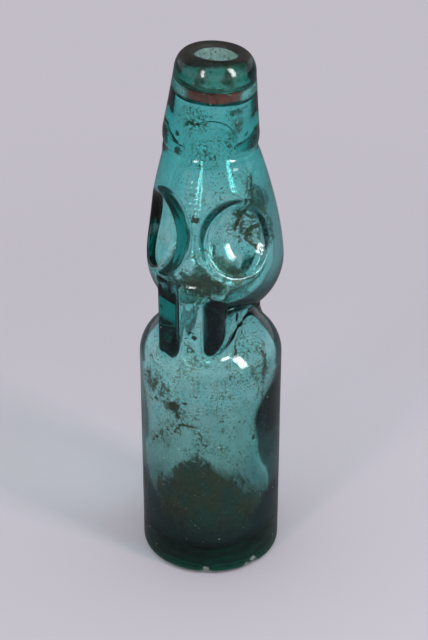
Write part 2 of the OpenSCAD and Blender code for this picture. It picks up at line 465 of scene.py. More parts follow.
def grid_normals(rows):
    """Outward normals of a grid whose columns run round and whose rows run up the outside."""
    around = np.roll(rows, -1, axis=1) - np.roll(rows, 1, axis=1)
    along = np.gradient(rows, axis=0)
    normal = np.cross(around, along)
    size = np.linalg.norm(normal, axis=-1, keepdims=True)
    return normal / np.maximum(size, 1e-9)


# Turn and height of the chips in the heel, with their radius and depth
CHIPS = ((-4.0, 2.6, 2.0, 0.8), (39.0, 3.6, 2.6, 0.9), (32.0, 2.2, 1.4, 0.6), (-152.0, 3.0, 2.2, 0.7))


def worked(rows, inside_row):
    """Gives the shell its unevenness: soft waves, the mould seam and chips in the heel."""
    count = len(rows)
    row = np.arange(count)[:, None]
    inside = row >= inside_row
    outer_push = 0.06 * waves(rows, 16.0, 1) + 0.012 * waves(rows, 5.0, 2) - 0.07
    inner_push = 0.2 * waves(rows, 17.0, 3) + 0.05 * waves(rows, 6.0, 4)
    push = np.where(inside, -inner_push, outer_push)
    z = rows[..., 2]
    # The inside keeps its shape where the marble rests, and nearly so up in the neck
    kept = np.maximum(ease(z, 98.0, 108.0) * (1.0 - ease(z, 126.0, 134.0)), 0.8 * ease(z, 164.0, 172.0))
    push = np.where(inside, push * (1.0 - kept), push)
    # The underside and the middle of the cavity's floor stay put
    push = push * ease(row, 14, 24) * (1.0 - ease(row, count - 10, count - 2))
    turn = (np.degrees(np.arctan2(rows[..., 0], -rows[..., 1])) - SEAM_TURN) % 180.0
    off_seam = np.radians(np.minimum(turn, 180.0 - turn)) * np.hypot(rows[..., 0], rows[..., 1])
    along_seam = ease(z, 12.0, 20.0) * (1.0 - ease(z, 168.0, 174.0)) * ~inside
    push = push + SEAM_RISE * np.exp(-((off_seam / SEAM_HALF_W) ** 2)) * along_seam
    # Ripples that the cooling mould left beside the seam on the chamber's front
    beside = np.exp(-((off_seam / 3.4) ** 2)) * (rows[..., 1] < 0.0) * ~inside
    ripple_at = ease(z, 151.0, 156.0) * (1.0 - ease(z, 168.0, 172.0))
    ripple = np.sin(z * 2.0 * math.pi / RIPPLE_WAVE + 2.0 * waves(rows, 7.0, 5))
    push = push + RIPPLE_RISE * ripple * beside * ripple_at
    rows = rows + push[..., None] * grid_normals(rows)
    for chip_turn, chip_z, radius, depth in CHIPS:
        a = math.radians(chip_turn)
        centre = np.array([BODY_R * math.sin(a), -BODY_R * math.cos(a), chip_z])
        near = np.exp(-((np.linalg.norm(rows - centre, axis=-1) / radius) ** 2)) * ~inside
        rows = rows - (depth * near)[..., None] * np.array([math.sin(a), -math.cos(a), -0.4])
    rows[..., 2] = np.maximum(rows[..., 2], 0.0)
    return rows


def spun_grid(name, rows):
    """A chain of vertices is extruded and spun round, then each vertex goes to its place."""
    count, columns = rows.shape[:2]
    pole = 0.001
    bpy.ops.object.select_all(action="DESELECT")
    bpy.ops.mesh.primitive_plane_add(size=MM, location=(0.0, 0.0, 0.0))
    piece = bpy.context.object
    piece.name = name
    piece.data.name = name
    bpy.ops.object.mode_set(mode="EDIT")
    bpy.ops.mesh.select_all(action="SELECT")
    bpy.ops.mesh.merge(type="CENTER")
    bpy.ops.mesh.select_all(action="SELECT")
    bpy.ops.transform.translate(value=(1.0, 0.0, 0.0))
    for _ in range(count - 1):
        bpy.ops.mesh.extrude_region_move(TRANSFORM_OT_translate={"value": (0.0, 0.0, pole)})
    bpy.ops.mesh.select_all(action="SELECT")
    bpy.ops.mesh.spin(
        steps=columns, angle=2.0 * math.pi, center=(0.0, 0.0, 0.0), axis=(0.0, 0.0, 1.0)
    )
    bpy.ops.mesh.select_all(action="SELECT")
    bpy.ops.mesh.remove_doubles(threshold=pole * 0.01)
    bpy.ops.object.mode_set(mode="OBJECT")
    mesh = piece.data
    flat = np.empty(len(mesh.vertices) * 3)
    mesh.vertices.foreach_get("co", flat)
    flat = flat.reshape(-1, 3)
    row = np.rint((flat[:, 2] - flat[:, 2].min()) / pole).astype(int)
    turn = np.arctan2(flat[:, 1], flat[:, 0]) % (2.0 * math.pi)
    column = np.rint(turn / (2.0 * math.pi) * columns).astype(int) % columns
    mesh.vertices.foreach_set("co", (rows[row, column] * MM).ravel())
    mesh.update()
    return piece, row, column


def closed(piece):
    """Merges what lies on one spot, points the faces outwards and shades them smooth."""
    bpy.ops.object.select_all(action="DESELECT")
    piece.select_set(True)
    bpy.context.view_layer.objects.active = piece
    bpy.ops.object.mode_set(mode="EDIT")
    bpy.ops.mesh.select_all(action="SELECT")
    bpy.ops.mesh.remove_doubles(threshold=1e-6)
    bpy.ops.mesh.normals_make_consistent(inside=False)
    bpy.ops.object.mode_set(mode="OBJECT")
    bpy.ops.object.shade_smooth()


# Upper edge of the brown film in the bottom: turn and height
FILM_TURN = (-180, -120, -75, -60, -40, -25, -12, 0, 19, 35, 54, 75, 120, 180)
FILM_TOP = (17, 17, 32, 39, 48, 56, 61, 56, 49, 43, 37, 29, 17, 17)

# Stains on the inner face: turn and height of the middle, half width, half height, strength
FILM_SPOTS = (
    (-16.0, 131.0, 12.0, 7.0, 0.8),
    (12.0, 132.0, 11.0, 6.0, 0.6),
    (62.0, 158.0, 7.0, 8.0, 0.75),
    (66.0, 147.0, 8.0, 8.0, 0.6),
    (50.0, 146.0, 5.0, 5.0, 0.5),
    (40.0, 108.0, 9.0, 7.0, 0.4),
    (4.0, 104.0, 5.0, 9.0, 0.3),
    (-58.0, 84.0, 10.0, 7.0, 0.56),
    (-34.0, 76.0, 6.0, 6.0, 0.5),
    (50.0, 88.0, 7.0, 8.0, 0.5),
    (54.0, 68.0, 6.0, 12.0, 0.45),
    (-8.0, 98.0, 5.0, 4.0, 0.4),
    (50.0, 195.0, 5.0, 4.5, 0.75),
    (56.0, 188.0, 3.0, 6.0, 0.5),
    (-38.0, 192.0, 5.0, 7.0, 0.45),
    (0.0, 182.0, 14.0, 5.0, 0.3),
)
GRIME_SPOTS = (
    (-33.0, 77.5, 3.2, 2.8, 1.0),
    (-30.0, 73.5, 1.8, 2.6, 0.8),
    (10.0, 73.0, 1.8, 3.0, 0.6),
    (50.0, 66.0, 2.4, 3.0, 0.7),
    (57.0, 94.0, 1.6, 2.2, 0.7),
    (31.0, 107.0, 1.8, 2.0, 0.6),
    (-19.0, 110.0, 2.2, 1.0, 0.8),
    (-15.5, 108.0, 1.4, 1.2, 1.0),
    (-17.0, 155.0, 2.6, 1.8, 0.8),
    (-64.0, 178.0, 2.4, 2.4, 0.8),
    (-70.0, 183.0, 1.6, 1.6, 0.9),
    (73.0, 183.0, 2.0, 1.6, 0.8),
    (50.0, 196.0, 3.2, 2.4, 0.9),
    (-42.0, 196.0, 3.6, 1.8, 0.8),
    (-36.0, 189.0, 1.6, 1.4, 0.8),
    (4.0, 178.0, 2.0, 1.2, 0.6),
)
HAZE_SPOTS = (
    (-16.0, 58.0, 18.0, 12.0, 1.5),
    (14.0, 68.0, 14.0, 12.0, 0.6),
    (-30.0, 95.0, 14.0, 9.0, 0.5),
    (180.0, 60.0, 30.0, 26.0, 0.5),
    (30.0, 160.0, 10.0, 9.0, 0.3),
)
# Thin brown lines where the film dried, each a run of turns and heights
VEINS = (
    ((-74.0, 75.5), (-62.0, 75.0), (-50.0, 77.5), (-40.0, 77.0), (-33.0, 78.5), (-30.0, 74.0)),
    ((-33.0, 78.5), (-27.0, 81.0), (-21.0, 79.5)),
    ((-47.0, 63.0), (-40.0, 65.5), (-34.0, 65.0), (-28.0, 69.0), (-21.0, 70.5), (-14.0, 69.5)),
    ((-14.0, 69.5), (-9.0, 66.5), (-8.0, 63.0), (-2.0, 61.0), (6.0, 60.5), (12.0, 59.0)),
    ((-60.0, 56.0), (-52.0, 60.0), (-47.0, 63.0), (-44.0, 59.0)),
    ((50.0, 89.0), (54.0, 91.0), (57.0, 95.0)),
    ((-70.0, 84.0), (-58.0, 80.0), (-50.0, 77.5)),
    ((40.0, 60.0), (47.0, 66.0), (52.0, 73.0), (50.0, 80.0)),
    ((66.0, 168.0), (58.0, 164.0), (53.0, 158.0), (50.0, 152.0), (45.0, 147.0)),
    ((70.0, 150.0), (60.0, 147.0), (56.0, 143.0), (60.0, 139.0)),
    ((-52.0, 187.0), (-40.0, 189.5), (-30.0, 189.0), (-14.0, 189.5)),
    ((-58.0, 196.0), (-44.0, 197.0), (-34.0, 196.5)),
    ((-170.0, 70.0), (-150.0, 78.0), (-130.0, 74.0), (-112.0, 82.0)),
    ((120.0, 60.0), (134.0, 72.0), (150.0, 70.0), (160.0, 84.0)),
)


def spotted(rows, spots):
    """How strongly each point is stained by a list of round spots."""
    turn = np.degrees(np.arctan2(rows[..., 0], -rows[..., 1]))
    reach = np.hypot(rows[..., 0], rows[..., 1])
    total = np.zeros(rows.shape[:2])
    for spot_turn, spot_z, half_w, half_h, strength in spots:
        across = np.radians((turn - spot_turn + 180.0) % 360.0 - 180.0) * reach / half_w
        up = (rows[..., 2] - spot_z) / half_h
        total = np.maximum(total, strength * np.exp(-((across**2 + up**2) ** 1.4)))
    return total


def off_veins(rows, veins):
    """Distance along the glass from each point to the nearest vein, at most 6 mm."""
    turn = np.degrees(np.arctan2(rows[..., 0], -rows[..., 1]))
    reach = np.hypot(rows[..., 0], rows[..., 1])
    nearest = np.full(rows.shape[:2], 6.0)
    for vein in veins:
        for (turn_a, z_a), (turn_b, z_b) in zip(vein[:-1], vein[1:]):
            x = np.radians((turn - turn_a + 180.0) % 360.0 - 180.0) * reach
            z = rows[..., 2] - z_a
            dx, dz = np.radians(turn_b - turn_a) * reach, z_b - z_a
            t = np.clip((x * dx + z * dz) / np.maximum(dx**2 + dz**2, 1e-9), 0.0, 1.0)
            nearest = np.minimum(nearest, np.hypot(x - t * dx, z - t * dz))
    return nearest


def mark(piece, name, values):
    """Keeps a number for each vertex, for the material to read."""
    piece.data.attributes.new(name, "FLOAT", "POINT").data.foreach_set("value", values.ravel())


# Rows counted back from the first one of the traced inside: where the bore starts, and
# between which the washer's seat and the mouth lie
BORE_ROW = 18
SEAT_ROWS = (27, 20)
MOUTH_ROWS = (38, 30)
# Rows of the heel over which the underside's scuffs and painted shade fade out
FOOT_ROWS = (15.0, 20.0)
# Heights over which the lip's dull crown, partly painted shade, and the worn glass of its dome come in
CROWN_Z = (208.5, 212.4)
WORN_Z = (198.0, 207.0)

rows, inside_row = shell_rows()
plain_rows = rows
rows = worked(rows, inside_row)
bottle, bottle_row, bottle_column = spun_grid("bottle_glass", rows)
height = plain_rows[..., 2]
row_number = np.arange(len(rows))[:, None] * np.ones(COLUMNS)
# The stained face starts below the washer; its seat and the mouth above it are only dull
is_inside = (row_number >= inside_row - BORE_ROW) * 1.0
in_mouth = (row_number >= inside_row - MOUTH_ROWS[0]) * (row_number < inside_row - MOUTH_ROWS[1]) * 1.0
at_side = ease(np.abs(plain_rows[..., 0] - plain_rows[..., 0].mean(axis=1, keepdims=True)), 7.0, 9.5)
in_seat = (row_number >= inside_row - SEAT_ROWS[0]) * (row_number < inside_row - SEAT_ROWS[1]) * at_side
plain_turn = np.degrees(np.arctan2(plain_rows[..., 0], -plain_rows[..., 1]))
film_top = np.interp(plain_turn, FILM_TURN, FILM_TOP)
bottom_film = 1.0 - ease(height, film_top - 15.0, film_top + 7.0)
bottom_film = bottom_film + 0.6 * (1.0 - ease(height, 11.0, 34.0))
film = np.maximum(bottom_film, spotted(plain_rows, FILM_SPOTS)) * is_inside
grime = spotted(plain_rows, GRIME_SPOTS) * is_inside
haze = spotted(plain_rows, HAZE_SPOTS) * is_inside + 0.7 * in_mouth + 1.2 * in_seat
# Grey-brown dullness on the lip's crown, partly grime and partly painted shade: lighter at the front,
# darker at the back and sides, where the crest is seen at a slant
crown = ease(height, *CROWN_Z) * (1.0 - is_inside) * (1.0 - in_mouth)
crown = crown * (1.0 - 0.45 * np.clip(-plain_rows[..., 1] / CROWN_R, 0.0, 1.0))
chipped = np.zeros(rows.shape[:2])
for chip_turn, chip_z, radius, depth in CHIPS:
    spot = ((chip_turn, chip_z, radius * 0.75, radius * 0.6, 1.0),)
    chipped = np.maximum(chipped, spotted(plain_rows, spot) * (1.0 - is_inside))
# Painted shade for the dark bands at the glass's edges: stronger on the right wall than the left one,
# strongest round the waist's slots, weaker in the chamber and the neck
side = plain_rows[..., 0] / BODY_R
painted_shade = (0.76 + 0.22 * np.clip(side, -1.0, 1.0)) * (1.0 - 0.6 * ease(height, 124.0, 134.0))
painted_shade = np.maximum(painted_shade, 0.97 * ease(height, 84.0, 92.0) * (1.0 - ease(height, 122.0, 132.0)))
painted_shade = is_inside * painted_shade * (1.0 - 0.85 * ease(height, 158.0, 172.0))
for name, values in (
    ("inside", is_inside + in_mouth + in_seat),
    ("film", film),
    ("grime", grime),
    ("haze", haze),
    ("vein", off_veins(plain_rows, VEINS)),
    ("crown", crown),
    ("chipped", chipped),
    ("worn", ease(height, *WORN_Z) * (1.0 - is_inside) * (1.0 - in_mouth)),
    ("painted_shade", painted_shade),
    ("foot", 1.0 - ease(row_number, *FOOT_ROWS)),
):
    mark(bottle, name, values[bottle_row, bottle_column])
closed(bottle)


def washer_rows():
    """Ring of rubber whose hole is worn round and uneven."""
    low, high = WASHER_LOW + 0.04, WASHER_LOW + WASHER_T - 0.04
    worn, edge = 0.9, 0.35
    hole_r, rim = WASHER_HOLE_R + worn, WASHER_R - edge
    profile = np.concatenate(
        [
            [[hole_r, low]],
            line(hole_r, low, rim, low, 9),
            arc(rim, low + edge, edge, -90.0, 0.0, 4),
            line(WASHER_R, low + edge, WASHER_R, high - edge, 9),
            arc(rim, high - edge, edge, 0.0, 90.0, 4),
            line(rim, high, hole_r, high, 9),
            arc(hole_r, high - worn, worn, 90.0, 180.0, 6),
            line(WASHER_HOLE_R, high - worn, WASHER_HOLE_R, low + worn, 6),
            arc(hole_r, low + worn, worn, 180.0, 270.0, 6),
        ]
    )
    turns = np.radians(np.linspace(0.0, 360.0, 144, endpoint=False))
    plain = revolved(profile + np.array([0.0, SEAT_Z]), turns)
    near_hole = 1.0 - ease(profile[:, 0:1], 7.0, 9.0)
    push = 0.05 * waves(plain, 0.9, 7) - 0.06 + (0.16 * waves(plain, 2.6, 8) - 0.16) * near_hole
    # Fine cracks in the perished faces
    splits = np.maximum(waves(plain * np.array([1.0, 1.0, 0.3]), 0.7, 9) - 0.25, 0.0)
    push = push - 0.25 * splits
    worn_rows = plain + push[..., None] * grid_normals(plain)
    worn_rows[-1] = worn_rows[0]
    return worn_rows


washer, _, _ = spun_grid("washer_rubber", washer_rows())
closed(washer)


def marble_rows():
    """Ball of glass, ground not quite round."""
    tilt = np.linspace(0.0, math.pi, 65)[:, None]
    turns = np.linspace(0.0, 2.0 * math.pi, 96, endpoint=False)[None, :]
    way = np.stack(
        np.broadcast_arrays(np.sin(tilt) * np.sin(turns), -np.sin(tilt) * np.cos(turns), -np.cos(tilt)),
        axis=-1,
    )
    push = 0.035 * waves(way * MARBLE_R, 7.0, 13) + 0.012 * waves(way * MARBLE_R, 1.6, 14) - 0.05
    ball = way * (MARBLE_R + push)[..., None]
    ball[0] = (0.0, 0.0, -MARBLE_R + 0.03)
    ball[-1] = (0.0, 0.0, MARBLE_R - 0.03)
    return ball + np.array(MARBLE_AT)


marble, _, _ = spun_grid("marble_glass", marble_rows())
closed(marble)

for piece, body, node_names, slot_name in (
    (bottle, "bottle", ("glass_body", "mouth_collar"), "teal_glass"),
    (washer, "bottle", ("rubber_washer",), "aged_rubber"),
    (marble, "marble", ("marble",), "green_glass"),
):
    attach(piece, body)
    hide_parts(*node_names)

# Materials ----------------------------------------------------------------------


def srgb(hex_code):
    """Linear colour of a six-digit sRGB code."""
    parts = [int(hex_code[i : i + 2], 16) / 255.0 for i in (0, 2, 4)]
    lin = [c / 12.92 if c <= 0.04045 else ((c + 0.055) / 1.055) ** 2.4 for c in parts]
    return (*lin, 1.0)


def add(tree, kind, settings=None, **links):
    """Adds a node, sets its properties and inputs, and links what comes from other nodes."""
    node = tree.nodes.new(kind)
    for key, value in (settings or {}).items():
        if isinstance(key, int) or key in node.inputs:
            node.inputs[key].default_value = value
        else:
            setattr(node, key, value)
    for key, source in links.items():
        socket = node.inputs[int(key[1:])] if key[1:].isdigit() else node.inputs[key.replace("_", " ")]
        tree.links.new(source, socket)
    return node


def new_material(name):
    """An empty material and its node tree."""
    material = bpy.data.materials.new(name)
    material.use_nodes = True
    material.node_tree.nodes.clear()
    return material, material.node_tree


def value_of(tree, name):
    """A number kept on the vertices of the piece."""
    return add(tree, "ShaderNodeAttribute", {"attribute_name": name}).outputs["Fac"]


def maths(tree, operation, a, b):
    """Sum, product or the like of two sockets or numbers."""
    node = add(tree, "ShaderNodeMath", {"operation": operation})
    for k, source in enumerate((a, b)):
        if isinstance(source, (int, float)):
            node.inputs[k].default_value = source
        else:
            tree.links.new(source, node.inputs[k])
    return node.outputs[0]


def step(tree, source, low, high, top=1.0):
    """Smooth step from 0 at low to top at high."""
    settings = {"From Min": low, "From Max": high, "To Max": top, "interpolation_type": "SMOOTHSTEP"}
    return add(tree, "ShaderNodeMapRange", settings, Value=source).outputs["Result"]


def blend(tree, share, first, second):
    """Mixes two colours, each a socket or an RGBA value."""
    node = add(tree, "ShaderNodeMix", {"data_type": "RGBA"})
    tree.links.new(share, node.inputs[0])
    for k, source in ((6, first), (7, second)):
        if isinstance(source, tuple):
            node.inputs[k].default_value = source
        else:
            tree.links.new(source, node.inputs[k])
    return node.outputs[2]


def per_metre(size_mm):
    """Texture scale for a pattern whose cells are this many millimetres."""
    return 1000.0 / size_mm


def cloud(tree, place, size_mm, detail=4.0, roughness=0.6, distortion=0.0):
    """Noise from 0 to 1 with blots of about this size."""
    settings = {
        "Scale": per_metre(size_mm),
        "Detail": detail,
        "Roughness": roughness,
        "Distortion": distortion,
    }
    return add(tree, "ShaderNodeTexNoise", settings, Vector=place).outputs["Fac"]


def cracks(tree, place, size_mm, width):
    """Thin wandering lines, 1 on the line."""
    noise_settings = {"Scale": per_metre(size_mm * 0.6), "Detail": 5.0}
    wander = add(tree, "ShaderNodeTexNoise", noise_settings, Vector=place).outputs["Color"]
    shift = {"operation": "SCALE", "Scale": size_mm * 0.0009}
    shift = add(tree, "ShaderNodeVectorMath", shift, i0=wander)
    moved = add(tree, "ShaderNodeVectorMath", {"operation": "ADD"}, i0=place, i1=shift.outputs[0])
    settings = {"feature": "DISTANCE_TO_EDGE", "Scale": per_metre(size_mm)}
    edge = add(tree, "ShaderNodeTexVoronoi", settings, Vector=moved.outputs[0])
    line_mask = step(tree, edge.outputs["Distance"], 0.0, width)
    return maths(tree, "SUBTRACT", 1.0, line_mask)


def dots(tree, place, size_mm, share, radius):
    """Scattered specks: about this share of the cells holds one."""
    cell = add(tree, "ShaderNodeTexVoronoi", {"Scale": per_metre(size_mm)}, Vector=place)
    dot = maths(tree, "SUBTRACT", 1.0, step(tree, cell.outputs["Distance"], radius * 0.6, radius))
    chance = add(tree, "ShaderNodeSeparateColor", i0=cell.outputs["Color"])
    return maths(tree, "MULTIPLY", dot, maths(tree, "LESS_THAN", chance.outputs[0], share))


def teal_glass():
    """Thick hand-blown glass: clear teal, stained brown and speckled on its inner face, with painted
    shading, dark and opaque, where light meets that face at a slant; dull at the crown, partly grime and
    partly painted shading."""
    material, tree = new_material("hand_blown_soda_glass")
    place = add(tree, "ShaderNodeTexCoord").outputs["Object"]
    inside = value_of(tree, "inside")
    blots = cloud(tree, place, 11.0, 3.0, 0.55)
    grain = cloud(tree, place, 2.4, 6.0, 0.7, 0.5)
    fine = cloud(tree, place, 0.9, 4.0, 0.7)
    patchy = maths(tree, "ADD", maths(tree, "MULTIPLY", grain, 0.9), maths(tree, "MULTIPLY", blots, 0.7))
    # Brown film that dried in the bottom and on the ledges
    drips = add(tree, "ShaderNodeMapping", {"Scale": (1.0, 1.0, 0.4)}, Vector=place)
    drips = maths(tree, "SUBTRACT", cloud(tree, drips.outputs[0], 4.5, 6.0, 0.65), 0.5)
    speckle = maths(tree, "SUBTRACT", fine, 0.5)
    uneven = maths(tree, "ADD", maths(tree, "SUBTRACT", patchy, 0.8), maths(tree, "MULTIPLY", speckle, 0.6))
    uneven = maths(tree, "MULTIPLY", maths(tree, "ADD", uneven, drips), 1.2)
    layer = maths(tree, "ADD", value_of(tree, "film"), uneven)
    film = maths(tree, "MULTIPLY", step(tree, layer, 0.15, 1.2, 0.95), inside)
    # Olive stipple in clouds, thicker round the dried edges
    off_line = value_of(tree, "vein")
    halo = maths(tree, "MULTIPLY", maths(tree, "SUBTRACT", 1.0, step(tree, off_line, 0.5, 5.0)), 0.16)
    stain = step(tree, maths(tree, "ADD", cloud(tree, place, 8.0, 5.0, 0.65, 0.4), halo), 0.42, 0.7)
    stain = maths(tree, "MULTIPLY", stain, step(tree, fine, 0.46, 0.68, 0.6))
    stain = maths(tree, "MULTIPLY", stain, inside)
    # Dark crumbs, with a spatter of fine grains round them
    near = maths(tree, "MULTIPLY", value_of(tree, "grime"), 0.85)
    crumbs = maths(tree, "ADD", near, maths(tree, "ADD", maths(tree, "MULTIPLY", grain, 0.6), fine))
    crumbs = maths(tree, "MULTIPLY", step(tree, crumbs, 1.18, 1.52, 0.88), inside)
    # Thin lines at the edges of the dried film
    wander = maths(tree, "MULTIPLY", maths(tree, "SUBTRACT", grain, 0.5), 3.4)
    lines = maths(tree, "SUBTRACT", 1.0, step(tree, maths(tree, "ADD", off_line, wander), 0.2, 0.66))
    lines = maths(tree, "MULTIPLY", lines, step(tree, fine, 0.28, 0.5, 0.74))
    spatter = maths(tree, "ADD", maths(tree, "MULTIPLY", halo, 2.0), maths(tree, "MULTIPLY", blots, 0.65))
    specks = maths(tree, "MAXIMUM", dots(tree, place, 0.75, 0.42, 0.27), dots(tree, place, 1.7, 0.16, 0.22))
    specks = maths(tree, "MULTIPLY", specks, step(tree, spatter, 0.22, 0.4, 0.85))
    dark = maths(tree, "MULTIPLY", maths(tree, "MAXIMUM", lines, specks), inside)
    dark = maths(tree, "MAXIMUM", dark, crumbs)
    # Pale haze on the whole inner face
    haze = maths(tree, "ADD", patchy, maths(tree, "MULTIPLY", value_of(tree, "haze"), 0.6))
    haze = maths(tree, "MULTIPLY", step(tree, haze, 0.75, 1.5, 0.28), inside)
    # Painted shade: the inner face turns dark where light meets it at a slant, for the dark edge bands and
    # the black slots of the waist
    painted_edge_shade = step(tree, add(tree, "ShaderNodeFresnel", {"IOR": 1.52}).outputs[0], 0.1, 0.7)
    painted_edge_shade = maths(tree, "MULTIPLY", painted_edge_shade, value_of(tree, "painted_shade"))
    # Grey-brown dullness of the lip's crown, partly grime and partly painted shade, chips in the heel, dust
    # outside
    crown = maths(tree, "MULTIPLY", maths(tree, "ADD", grain, blots), 0.35)
    crown = step(tree, maths(tree, "ADD", value_of(tree, "crown"), crown), 0.62, 1.2, 0.88)
    worn = value_of(tree, "worn")
    chipped = step(tree, maths(tree, "ADD", value_of(tree, "chipped"), grain), 0.95, 1.15)
    dust = maths(tree, "MULTIPLY", dots(tree, place, 3.1, 0.1, 0.14), maths(tree, "SUBTRACT", 1.0, inside))
    # Pale crumbs on the film
    dust = maths(tree, "MAXIMUM", dust, maths(tree, "MULTIPLY", dots(tree, place, 1.5, 0.13, 0.2), film))
    pale = maths(tree, "MAXIMUM", chipped, dust)
    # Underside of the foot: scuffs and painted shade, deep green and nearly opaque for the dark floor under
    # the bottle, in faint lighter rings of painted light for the thick glass
    foot = value_of(tree, "foot")
    from_middle = add(tree, "ShaderNodeVectorMath", {"operation": "LENGTH"}, i0=place).outputs["Value"]
    rings = {"noise_dimensions": "1D", "Scale": per_metre(4.5), "Detail": 2.0}
    rings = add(tree, "ShaderNodeTexNoise", rings, W=from_middle).outputs["Fac"]
    rings = step(tree, maths(tree, "ADD", rings, maths(tree, "MULTIPLY", drips, 0.4)), 0.36, 0.66)

    # Clear glass whose inner face looks a deeper blue-green in patches, then each layer on it
    bare = maths(tree, "MULTIPLY", step(tree, maths(tree, "ADD", blots, drips), 0.42, 0.56), inside)
    colour = blend(tree, bare, (1.0, 1.0, 1.0, 1.0), (0.66, 0.97, 0.98, 1.0))
    colour = blend(tree, worn, colour, (0.2, 0.3, 0.22, 1.0))
    colour = blend(tree, step(tree, haze, 0.0, 0.15), colour, srgb("eef2ee"))
    colour = blend(tree, step(tree, stain, 0.0, 0.3), colour, srgb("6b5f3c"))
    rusty = step(tree, maths(tree, "ADD", blots, drips), 0.36, 0.62)
    brown = blend(tree, rusty, srgb("2b382c"), srgb("573a26"))
    brown = blend(tree, step(tree, layer, 1.05, 1.5), brown, srgb("151a1a"))
    colour = blend(tree, step(tree, film, 0.0, 0.4), colour, brown)
    colour = blend(tree, step(tree, dark, 0.0, 0.3), colour, srgb("422b10"))
    # Painted shade: dark grey where light meets the inner face at a slant
    colour = blend(tree, step(tree, painted_edge_shade, 0.0, 0.4), colour, srgb("1b2124"))
    # Grey-brown crown: grime and painted shade
    colour = blend(tree, step(tree, crown, 0.0, 0.3), colour, srgb("2f2c28"))
    colour = blend(tree, pale, colour, srgb("a3aba4"))
    # Painted shade and rings of painted light under the foot
    colour = blend(tree, foot, colour, blend(tree, rings, srgb("0d332d"), srgb("246754")))
    # How much of the light the thickest of those layers stops
    opaque = maths(tree, "MAXIMUM", maths(tree, "MULTIPLY", pale, 0.5), maths(tree, "MULTIPLY", foot, 0.97))
    for cover in (haze, film, dark, crown, stain):
        opaque = maths(tree, "MAXIMUM", opaque, cover)
    # The painted shade also stops the light passing, as the layers do
    cover_and_painted_shade = maths(tree, "MAXIMUM", opaque, painted_edge_shade)
    spread = {"From Max": 0.9, "To Min": 0.006, "To Max": 0.7}
    rough = add(tree, "ShaderNodeMapRange", spread, Value=opaque).outputs["Result"]
    ripples = cloud(tree, place, 1.8, 3.0, 0.55)
    relief = add(tree, "ShaderNodeBump", {"Strength": 0.03, "Distance": 0.0001}, Height=ripples)
    glass = add(
        tree,
        "ShaderNodeBsdfPrincipled",
        {"IOR": 1.52},
        Base_Color=colour,
        Roughness=maths(tree, "MAXIMUM", rough, step(tree, worn, 0.0, 1.0, 0.13)),
        Transmission_Weight=maths(tree, "SUBTRACT", 1.0, cover_and_painted_shade),
        Normal=relief.outputs[0],
    )
    path = add(tree, "ShaderNodeLightPath")
    # Light passes on to the floor where the glass is clean
    passed = blend(tree, opaque, (1.0, 0.93, 0.9, 1.0), (0.1, 0.08, 0.06, 1.0))
    clear = add(tree, "ShaderNodeBsdfTransparent", i0=passed)
    in_shadow = path.outputs["Is Shadow Ray"]
    mixed = add(tree, "ShaderNodeMixShader", i0=in_shadow, i1=glass.outputs[0], i2=clear.outputs[0])
    depth = add(
        tree, "ShaderNodeVolumeAbsorption", {"Color": (0.33, 0.85, 0.835, 1.0), "Density": 190.0}
    )
    add(tree, "ShaderNodeOutputMaterial", Surface=mixed.outputs[0], Volume=depth.outputs[0])
    return material


def green_glass():
    """Solid dark green glass, ground round and scuffed by rolling."""
    material, tree = new_material("ground_green_glass")
    place = add(tree, "ShaderNodeTexCoord").outputs["Object"]
    scuffs = cracks(tree, place, 2.4, 0.05)
    grain = cloud(tree, place, 1.4, 5.0, 0.65)
    stain = step(tree, cloud(tree, place, 6.0, 5.0, 0.65), 0.5, 0.7, 0.7)
    worn = maths(tree, "MULTIPLY", scuffs, step(tree, grain, 0.45, 0.6, 0.7))
    colour = blend(tree, stain, (0.8, 0.95, 0.9, 1.0), srgb("4a3f2a"))
    colour = blend(tree, worn, colour, srgb("8fa59a"))
    dull = maths(tree, "MAXIMUM", stain, worn)
    relief = add(tree, "ShaderNodeBump", {"Strength": 0.2, "Distance": 0.0001}, Height=grain)
    glass = add(
        tree,
        "ShaderNodeBsdfPrincipled",
        {"IOR": 1.52},
        Base_Color=colour,
        Roughness=add(
            tree, "ShaderNodeMapRange", {"From Max": 0.9, "To Min": 0.05, "To Max": 0.6}, Value=dull
        ).outputs["Result"],
        Transmission_Weight=maths(tree, "SUBTRACT", 0.95, dull),
        Normal=relief.outputs[0],
    )
    depth = add(
        tree, "ShaderNodeVolumeAbsorption", {"Color": (0.02, 0.66, 0.45, 1.0), "Density": 320.0}
    )
    add(tree, "ShaderNodeOutputMaterial", Surface=glass.outputs[0], Volume=depth.outputs[0])
    return material


def aged_rubber():
    """Perished red rubber: matt, cracked, darker where it's damp, with a grey bloom."""
    material, tree = new_material("perished_rubber")
    place = add(tree, "ShaderNodeTexCoord").outputs["Object"]
    mottle = cloud(tree, place, 3.2, 5.0, 0.65)
    grain = cloud(tree, place, 0.6, 4.0, 0.6)
    split = maths(tree, "MULTIPLY", cracks(tree, place, 1.6, 0.08), step(tree, mottle, 0.4, 0.6))
    colour = blend(tree, step(tree, mottle, 0.35, 0.65), srgb("a83222"), srgb("7c2015"))
    colour = blend(tree, step(tree, grain, 0.6, 0.8, 0.15), colour, srgb("b0857a"))
    colour = blend(tree, split, colour, srgb("2c0f0a"))
    height = maths(tree, "SUBTRACT", maths(tree, "MULTIPLY", grain, 0.6), split)
    relief = add(tree, "ShaderNodeBump", {"Strength": 0.7, "Distance": 0.00015}, Height=height)
    rubber = add(
        tree,
        "ShaderNodeBsdfPrincipled",
        {"Specular IOR Level": 0.35},
        Base_Color=colour,
        Roughness=add(
            tree, "ShaderNodeMapRange", {"To Min": 0.62, "To Max": 0.9}, Value=mottle
        ).outputs["Result"],
        Normal=relief.outputs[0],
    )
    add(tree, "ShaderNodeOutputMaterial", Surface=rubber.outputs[0])
    return material


